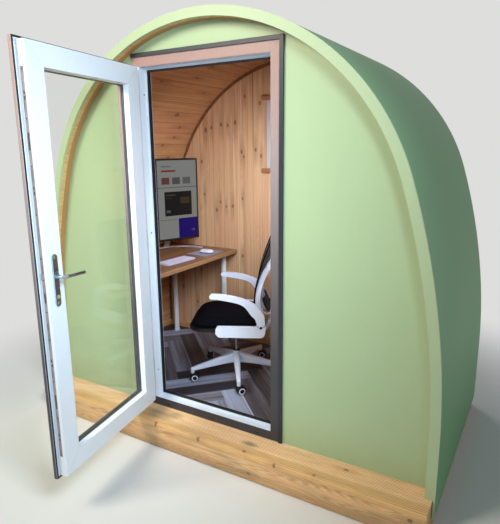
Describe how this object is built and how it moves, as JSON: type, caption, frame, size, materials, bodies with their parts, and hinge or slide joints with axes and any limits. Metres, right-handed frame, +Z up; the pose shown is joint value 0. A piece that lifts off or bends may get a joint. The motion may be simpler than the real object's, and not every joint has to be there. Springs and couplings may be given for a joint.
{
  "type": "garden office pod",
  "caption": "Arched timber garden office pod with a painted curved shell, a glazed outward-opening door, and a desk, screen and swivel chair inside.",
  "frame": {"origin": "on the ground, in the middle of the arch's width and depth", "axes": "+X to the right along the front, +Y from the door into the pod, +Z up"},
  "size_m": [2.54, 2.1454, 2.388],
  "materials": {
    "pine": "rough",
    "pine_boards": "satin",
    "brown_timber": "satin",
    "floor_laminate": "satin",
    "green_paint": "satin",
    "grey_plastic": "matte",
    "white_plastic": "gloss",
    "white_metal": "satin",
    "steel": "brushed",
    "chrome": "polished",
    "glass": "clear",
    "black_plastic": "matte",
    "black_fabric": "woven",
    "grey_fabric": "woven"
  },
  "bodies": {
    "pod": {"front_bearer": "pine", "back_bearer": "pine", "floor_joists": "pine", "sill_board": "pine", "sole_plates": "pine", "floor_panel": "pine", "floor_planks": "floor_laminate", "roof_skin": "green_paint", "roof_shell": "pine", "roof_lining": "pine_boards", "front_arch_rib": "brown_timber", "back_arch_rib": "brown_timber", "front_fascia": "green_paint", "back_fascia": "green_paint", "front_wall_left": "green_paint", "front_wall_right": "green_paint", "front_wall_over_door": "green_paint", "back_wall": "green_paint", "front_lining": "pine_boards", "back_lining": "pine_boards", "back_arch_trim": "brown_timber", "back_skirting": "pine_boards", "door_frame_hinge_jamb": "grey_plastic", "door_frame_lock_jamb": "grey_plastic", "door_frame_head": "grey_plastic", "door_frame_threshold": "grey_plastic", "frame_cover_strip": "grey_plastic", "frame_keeps": "steel", "frame_hinge_halves": "white_metal", "desk_top": "brown_timber", "desk_legs": "white_metal", "monitor": "black_plastic", "monitor_stand": "steel", "keyboard": "white_plastic", "mouse_mat": "grey_fabric", "mouse": "white_plastic", "chair_base": "white_plastic", "chair_castors": "black_plastic", "chair_column": "black_plastic"},
    "door_leaf": {"leaf_hinge_stile": "white_plastic", "leaf_lock_stile": "white_plastic", "leaf_top_rail": "white_plastic", "leaf_bottom_rail": "white_plastic", "door_glass": "glass", "glazing_beads": "white_plastic", "lock_faceplate": "steel", "handle_plates": "chrome", "lock_cylinder": "steel", "leaf_hinge_halves": "white_metal"},
    "door_handle": {"lever_handles": "chrome"},
    "chair_top": {"chair_mechanism": "black_plastic", "chair_seat": "black_fabric", "chair_arm_brackets": "white_plastic", "chair_back_frame": "white_plastic", "chair_back_mesh": "black_fabric", "chair_lumbar_pad": "black_plastic"},
    "arm_left": {"chair_arm_left": "white_plastic"},
    "arm_right": {"chair_arm_right": "white_plastic"}
  },
  "joints": [
    {"name": "door_hinge", "type": "hinge", "parent": "pod", "child": "door_leaf", "pos_m": [-0.456, -0.624, 1.185], "axis": [0, 0, 1], "range_deg": [-40, 80]},
    {"name": "handle_turn", "type": "hinge", "parent": "door_leaf", "child": "door_handle", "pos_m": [-0.3184, -1.4045, 1.185], "axis": [-0.9848, -0.1736, 0], "range_deg": [-40, 40], "stiffness_Nm_per_rad": 1.2},
    {"name": "chair_swivel", "type": "hinge", "parent": "pod", "child": "chair_top", "pos_m": [-0.17, -0.06, 0.5], "axis": [0, 0, 1], "range_deg": [-90, 65]},
    {"name": "arm_left_flip", "type": "hinge", "parent": "chair_top", "child": "arm_left", "pos_m": [0.12, -0.2316, 0.673], "axis": [-0.4462, 0.8949, 0], "range_deg": [0, 60]},
    {"name": "arm_right_flip", "type": "hinge", "parent": "chair_top", "child": "arm_right", "pos_m": [-0.1325, 0.2749, 0.673], "axis": [-0.4462, 0.8949, 0], "range_deg": [0, 60]}
  ]
}
